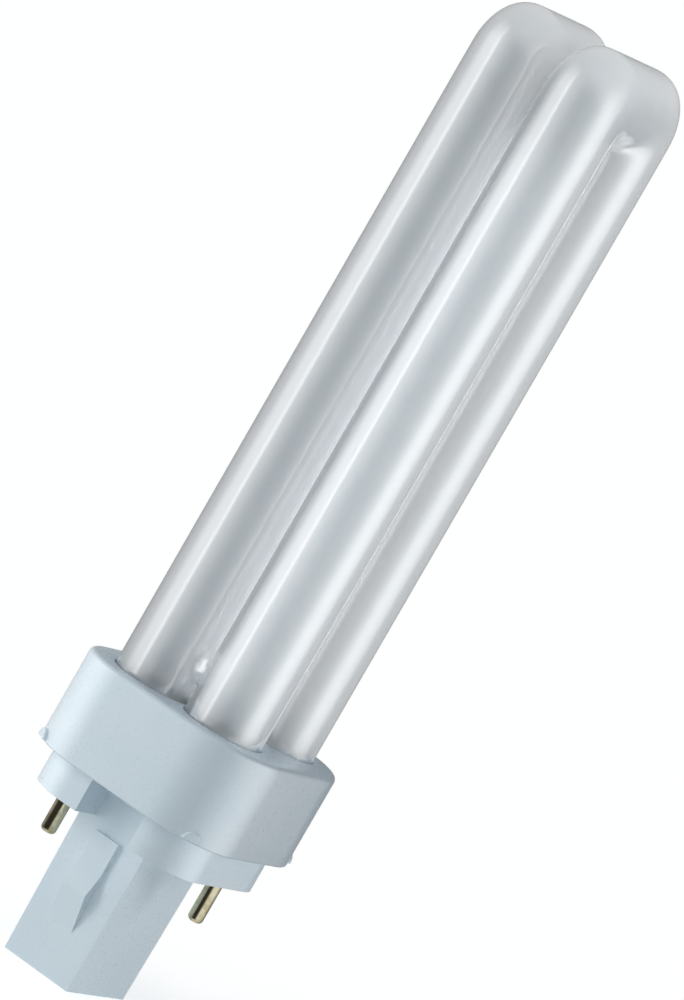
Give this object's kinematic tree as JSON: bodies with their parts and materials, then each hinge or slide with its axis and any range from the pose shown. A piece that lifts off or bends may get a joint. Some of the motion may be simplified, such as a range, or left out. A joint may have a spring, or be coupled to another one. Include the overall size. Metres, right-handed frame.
{
  "type": "compact fluorescent bulb",
  "caption": "Plug-in compact fluorescent bulb: parallel white glass tubes with flat-topped bends on a square collar, over a stepped base with brass pins and a rectangular latch post.",
  "frame": {"origin": "centre of the post's end, which is the middle of the lamp's underside", "axes": "+Z along the lamp's axis towards the glass, X across the U-shaped tubes, Y along each of them"},
  "size_m": [0.0346, 0.0346, 0.153],
  "materials": {
    "white_glass": "clear glass over a white powder coat",
    "cap_plastic": "satin moulded plastic",
    "pin_brass": "turned brass",
    "cement": "matt cement",
    "clear_glass": "clear glass",
    "capacitor_coat": "dipped coating",
    "lead_wire": "plated wire"
  },
  "bodies": {
    "root": {"discharge_tube": "white_glass", "collar": "cap_plastic", "base": "cap_plastic", "contact_pin_left": "pin_brass", "contact_pin_right": "pin_brass", "tube_cement": "cement", "glow_starter": "clear_glass", "capacitor": "capacitor_coat", "pin_lead_left": "lead_wire", "pin_lead_right": "lead_wire", "starter_lead_left": "lead_wire", "starter_lead_right": "lead_wire"}
  },
  "joints": []
}
